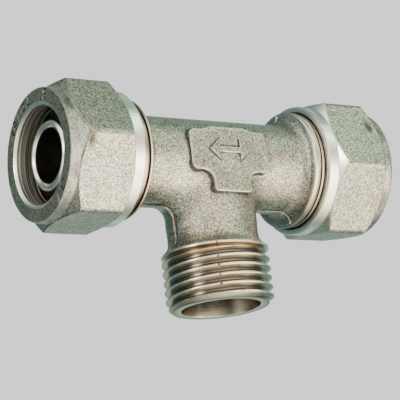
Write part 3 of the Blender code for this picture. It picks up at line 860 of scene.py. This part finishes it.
class Nodes:
    """Small helper that adds and links shader nodes."""

    def __init__(self, tree):
        self.tree = tree

    def add(self, kind, **settings):
        node = self.tree.nodes.new(kind)
        for key, value in settings.items():
            setattr(node, key, value)
        return node

    def link(self, source, target):
        self.tree.links.new(source, target)

    def math(self, operation, a, b=None, clamp=False):
        node = self.add("ShaderNodeMath", operation=operation, use_clamp=clamp)
        for socket, item in zip(node.inputs, (a, b)):
            if item is None:
                continue
            if isinstance(item, (int, float)):
                socket.default_value = item
            else:
                self.link(item, socket)
        return node.outputs[0]

    def noise(self, coordinates, scale, detail=2.0, rough=0.5):
        node = self.add("ShaderNodeTexNoise")
        node.inputs["Scale"].default_value = scale
        node.inputs["Detail"].default_value = detail
        node.inputs["Roughness"].default_value = rough
        self.link(coordinates, node.inputs["Vector"])
        return node.outputs["Fac"]

    def ramp(self, source, stops):
        node = self.add("ShaderNodeValToRGB")
        elements = node.color_ramp.elements
        while len(elements) < len(stops):
            elements.new(0.5)
        for element, (place, color) in zip(elements, stops):
            element.position = place
            element.color = (*color, 1.0)
        self.link(source, node.inputs["Fac"])
        return node.outputs["Color"]

    def mix(self, share, a, b):
        node = self.add("ShaderNodeMix", data_type="RGBA")
        self.link(share, node.inputs["Factor"])
        for socket, item in ((node.inputs["A"], a), (node.inputs["B"], b)):
            if isinstance(item, tuple):
                socket.default_value = (*item, 1.0)
            else:
                self.link(item, socket)
        return node.outputs["Result"]

    def lifted(self, share, color, factor):
        """A colour times a factor where the share is 1, never brighter than white."""
        node = self.add("ShaderNodeMix", data_type="RGBA", blend_type="MULTIPLY",
                        clamp_result=True)
        self.link(share, node.inputs["Factor"])
        self.link(color, node.inputs["A"])
        node.inputs["B"].default_value = (*factor, 1.0)
        return node.outputs["Result"]

    def multiply(self, a, b):
        node = self.add("ShaderNodeMix", data_type="RGBA", blend_type="MULTIPLY")
        node.inputs["Factor"].default_value = 1.0
        self.link(a, node.inputs["A"])
        self.link(b, node.inputs["B"])
        return node.outputs["Result"]

    def blend(self, share, a, b):
        node = self.add("ShaderNodeMix", data_type="FLOAT")
        self.link(share, node.inputs["Factor"])
        for socket, item in ((node.inputs["A"], a), (node.inputs["B"], b)):
            if isinstance(item, (int, float)):
                socket.default_value = item
            else:
                self.link(item, socket)
        return node.outputs["Result"]


def new_material(name):
    """Material, its node helper, its shader and the coordinates of its object."""
    material = bpy.data.materials.new(name)
    material.use_nodes = True
    tree = material.node_tree
    shader = tree.nodes["Principled BSDF"]
    nodes = Nodes(tree)
    place = nodes.add("ShaderNodeTexCoord").outputs["Object"]
    return material, nodes, shader, place


def blasted_parts(nodes, place, tint, fine, tones):
    """Colour, roughness and height of shot-blasted nickel: small dents, dark to bright."""
    dent = nodes.add("ShaderNodeTexVoronoi")
    dent.inputs["Scale"].default_value = fine
    nodes.link(place, dent.inputs["Vector"])
    chance = nodes.add("ShaderNodeSeparateColor")
    nodes.link(dent.outputs["Color"], chance.inputs[0])
    grain = nodes.noise(place, fine * 0.7, 2.0, 0.6)
    cloud = nodes.noise(place, 260.0, 3.0, 0.5)
    tone = nodes.math("ADD", nodes.math("MULTIPLY", chance.outputs[0], 0.5),
                      nodes.math("MULTIPLY", grain, 0.5))
    dark, middle, light = [tuple(c * share for c in tint) for share in tones]
    speckle = nodes.ramp(tone, [(0.28, dark), (0.5, middle), (0.72, light)])
    patch = nodes.ramp(cloud, [(0.3, (0.80, 0.83, 0.84)), (0.7, (1.0, 1.0, 1.0))])
    rough = nodes.math("ADD", nodes.math("MULTIPLY", grain, 0.2), 0.2)
    height = nodes.math("ADD", nodes.math("MULTIPLY", dent.outputs["Distance"], 0.5), grain)
    return nodes.multiply(speckle, patch), rough, height


def lathe_lines(nodes, place, side, scale):
    """Height of fine turning marks, which run around the piece's axis."""
    parts = nodes.add("ShaderNodeSeparateXYZ")
    nodes.link(place, parts.inputs[0])
    along = parts.outputs["Z" if side == "branch" else "X"]
    line = nodes.add("ShaderNodeCombineXYZ")
    nodes.link(nodes.math("MULTIPLY", along, scale), line.inputs[0])
    return nodes.noise(line.outputs[0], 1.0)


def add_bump(nodes, shader, height, strength, distance):
    bump = nodes.add("ShaderNodeBump")
    bump.inputs["Strength"].default_value = strength
    bump.inputs["Distance"].default_value = distance * MM
    nodes.link(height, bump.inputs["Height"])
    nodes.link(bump.outputs["Normal"], shader.inputs["Normal"])


def nickel_material(name, tint, fine, tones):
    """Blasted nickel, turned, tarnished or worn, with painted highlights, painted shade and
    painted light, where the piece's attributes say so.
    """
    material, nodes, shader, place = new_material(name)
    color, rough, height = blasted_parts(nodes, place, tint, fine, tones)
    masks = [nodes.add("ShaderNodeAttribute", attribute_name=key).outputs["Fac"]
             for key in ("machined", "tarnish", "edge", "painted_crevice_shade", "streaked_and_shaded", "painted_crotch_light")]
    turned_mask, tarnish, edge, painted_crevice_shade, streaked_and_shaded, painted_crotch_light = masks
    lines = lathe_lines(nodes, place, "run", 6000.0)
    bright = nodes.ramp(lines, [(0.35, (0.90, 0.89, 0.84)), (0.6, (0.99, 0.98, 0.95))])
    stained = nodes.ramp(nodes.noise(place, 900.0, 3.0, 0.6),
                         [(0.38, (0.07, 0.075, 0.068)), (0.62, (0.27, 0.275, 0.25))])
    coarse = lathe_lines(nodes, place, "run", 3000.0)
    # Turning lines for the nut's bore, near black between them as painted shade.
    streaks_in_shade = nodes.ramp(coarse, [(0.44, (0.05, 0.047, 0.042)), (0.56, (0.90, 0.86, 0.79))])
    chips = nodes.math("MULTIPLY", nodes.math("SUBTRACT", nodes.noise(place, 1500.0), 0.3), 2.0,
                       clamp=True)
    # Painted light: lighter where tube and neck join on the left.
    color = nodes.lifted(painted_crotch_light, color, (1.9, 1.9, 1.95))
    # Bent edges turn pale, as wear and as a painted highlight.
    color = nodes.mix(nodes.math("MULTIPLY", edge, chips), color, (0.92, 0.90, 0.84))
    color = nodes.mix(turned_mask, color, bright)
    color = nodes.mix(tarnish, color, stained)
    color = nodes.mix(streaked_and_shaded, color, streaks_in_shade)
    # Painted shade: corners, the pad's foot, a knock and punched pits go near black.
    color = nodes.mix(nodes.math("MULTIPLY", painted_crevice_shade, 0.88), color, (0.035, 0.033, 0.03))
    rough = nodes.blend(turned_mask, rough, 0.16)
    rough = nodes.math("ADD", rough, nodes.math("MULTIPLY", tarnish, 0.3))
    rough = nodes.blend(streaked_and_shaded, rough, 0.5)
    height = nodes.blend(turned_mask, height, nodes.math("MULTIPLY", lines, 0.1))
    nodes.link(color, shader.inputs["Base Color"])
    nodes.link(rough, shader.inputs["Roughness"])
    shader.inputs["Metallic"].default_value = 0.94
    add_bump(nodes, shader, height, 0.7, 0.06)
    return material


def machined_material(name, side, stops):
    """Turned nickel, darker and browner where its attribute says so, as staining and painted
    shade.
    """
    material, nodes, shader, place = new_material(name)
    lines = lathe_lines(nodes, place, side, 7000.0)
    stain_and_shade = nodes.add("ShaderNodeAttribute", attribute_name="stain_and_shade").outputs["Fac"]
    cloud = nodes.noise(place, 500.0, 3.0, 0.6)
    ripple = nodes.math("MULTIPLY", nodes.math("SUBTRACT", lines, 0.5), 0.3)
    share = nodes.math("ADD", stain_and_shade, nodes.math("MULTIPLY", ripple, stain_and_shade), clamp=True)
    wear = nodes.ramp(cloud, [(0.35, (0.86, 0.86, 0.86)), (0.6, (1.0, 1.0, 1.0))])
    nodes.link(nodes.multiply(nodes.ramp(share, stops), wear), shader.inputs["Base Color"])
    shader.inputs["Metallic"].default_value = 1.0
    rough = nodes.math("ADD", nodes.math("MULTIPLY", cloud, 0.16), 0.14)
    nodes.link(rough, shader.inputs["Roughness"])
    add_bump(nodes, shader, lines, 0.25, 0.02)
    return material


def plain_material(name, color, rough, metallic, scale, strength):
    """One colour with a fine grain in its tone, roughness and height."""
    material, nodes, shader, place = new_material(name)
    grain = nodes.noise(place, scale, 3.0, 0.6)
    dark = tuple(c * 0.8 for c in color)
    light = tuple(min(1.0, c * 1.15) for c in color)
    nodes.link(nodes.ramp(grain, [(0.3, dark), (0.7, light)]), shader.inputs["Base Color"])
    uneven = nodes.math("ADD", nodes.math("MULTIPLY", grain, 0.15), rough - 0.07)
    nodes.link(uneven, shader.inputs["Roughness"])
    shader.inputs["Metallic"].default_value = metallic
    add_bump(nodes, shader, grain, strength, 0.02)
    return material


# Studio

def view_axes():
    """Right, up and backward directions of the camera."""
    azimuth, elevation = math.radians(VIEW_AZIMUTH), math.radians(VIEW_ELEVATION)
    back = Vector((math.sin(azimuth) * math.cos(elevation),
                   -math.cos(azimuth) * math.cos(elevation), math.sin(elevation)))
    right = (-back).cross(Vector((0.0, 0.0, 1.0))).normalized()
    up = right.cross(-back)
    roll = Matrix.Rotation(math.radians(VIEW_ROLL), 3, back)
    return roll @ right, roll @ up, back


def build_camera():
    """Long lens, low and from the left, rolled a little as in the picture."""
    right, up, back = view_axes()
    data = bpy.data.cameras.new("camera")
    data.lens = VIEW_LENS
    data.sensor_width = 36.0
    data.clip_start = 0.01
    camera = bpy.data.objects.new("camera", data)
    turn = Matrix((right, up, back)).transposed().to_4x4()
    place = (Vector(VIEW_TARGET) + back * VIEW_DISTANCE) * MM
    camera.matrix_world = Matrix.Translation(place) @ turn
    bpy.context.scene.collection.objects.link(camera)
    bpy.context.scene.camera = camera


def build_world():
    """Soft light by direction. The camera sees a plain backdrop instead."""
    world = bpy.data.worlds.new("studio")
    world.use_nodes = True
    bpy.context.scene.world = world
    nodes = Nodes(world.node_tree)
    background = world.node_tree.nodes["Background"]
    direction = nodes.add("ShaderNodeTexCoord").outputs["Generated"]
    total = None
    for aim, color, power in WORLD_LOBES:
        dot = nodes.add("ShaderNodeVectorMath", operation="DOT_PRODUCT")
        nodes.link(direction, dot.inputs[0])
        dot.inputs[1].default_value = Vector(aim).normalized()
        share = nodes.math("POWER", nodes.math("MAXIMUM", dot.outputs["Value"], 0.0), power)
        lobe = nodes.add("ShaderNodeVectorMath", operation="SCALE")
        lobe.inputs[0].default_value = color
        nodes.link(share, lobe.inputs["Scale"])
        added = nodes.add("ShaderNodeVectorMath", operation="ADD")
        nodes.link(lobe.outputs[0], added.inputs[0])
        if total is None:
            added.inputs[1].default_value = WORLD_BASE
        else:
            nodes.link(total, added.inputs[1])
        total = added.outputs[0]
    seen = nodes.add("ShaderNodeLightPath").outputs["Is Camera Ray"]
    nodes.link(nodes.mix(seen, total, BACKDROP), background.inputs["Color"])
    background.inputs["Strength"].default_value = 1.0


def build_floor():
    """Pale floor, far enough below to stay out of the picture."""
    bpy.ops.mesh.primitive_circle_add(vertices=96, radius=FLOOR_R, fill_type="NGON",
                                      location=(0.0, 0.0, FLOOR_Z))
    floor = bpy.context.object
    floor.name = "floor"
    material, nodes, shader, place = new_material("pale_floor")
    tone = nodes.ramp(nodes.noise(place, 6.0),
                      [(0.3, (0.88, 0.87, 0.87)), (0.7, (0.92, 0.91, 0.91))])
    nodes.link(tone, shader.inputs["Base Color"])
    shader.inputs["Roughness"].default_value = 0.9
    floor.data.materials.append(material)
    floor.visible_glossy = False


def main():
    blasted = nickel_material("blasted_nickel", (0.88, 0.84, 0.73), 6600.0, (0.12, 0.42, 1.0))
    nut = nickel_material("nut_nickel", (0.90, 0.87, 0.76), 5600.0, (0.17, 0.43, 0.93))
    branch_metal = machined_material("branch_nickel", "branch", [
        (0.0, (0.93, 0.91, 0.85)), (0.35, (0.66, 0.57, 0.45)), (0.6, (0.55, 0.46, 0.35)),
        (0.8, (0.28, 0.26, 0.23)), (1.0, (0.16, 0.15, 0.13))])
    end_metal = machined_material("run_end_nickel", "run", [
        (0.0, (0.86, 0.80, 0.72)), (0.5, (0.66, 0.54, 0.45)), (1.0, (0.36, 0.30, 0.25))])
    stem_metal = machined_material("stem_nickel", "run", [
        (0.0, (0.90, 0.88, 0.83)), (1.0, (0.44, 0.41, 0.37))])
    ring_metal = plain_material("ring_brass", (0.20, 0.185, 0.16), 0.30, 1.0, 1200.0, 0.1)
    rubber = plain_material("seal_rubber", (0.022, 0.022, 0.022), 0.55, 0.0, 2500.0, 0.1)
    plastic = plain_material("washer_plastic", (0.72, 0.71, 0.66), 0.45, 0.0, 1500.0, 0.1)
    build_forging(blasted)
    build_branch_end(branch_metal)
    for side in ("left", "right"):
        build_run_end(side, end_metal)
        build_nut(side, nut)
        build_split_ring(side, ring_metal)
        build_stem(side, stem_metal)
        for place, middle in BARREL_SEALS_AT.items():
            build_oring(side + "_barrel_seal_" + place, side + "_stem_oring_" + place, side,
                        middle, BARREL_SEAL_R, BARREL_SEAL_THICK, rubber)
        build_oring(side + "_hub_seal", side + "_seat_oring", side, HUB_SEAL_AT, HUB_SEAL_R,
                    HUB_SEAL_THICK, rubber)
        build_washer(side, plastic)
    build_floor()
    build_world()
    build_camera()


main()
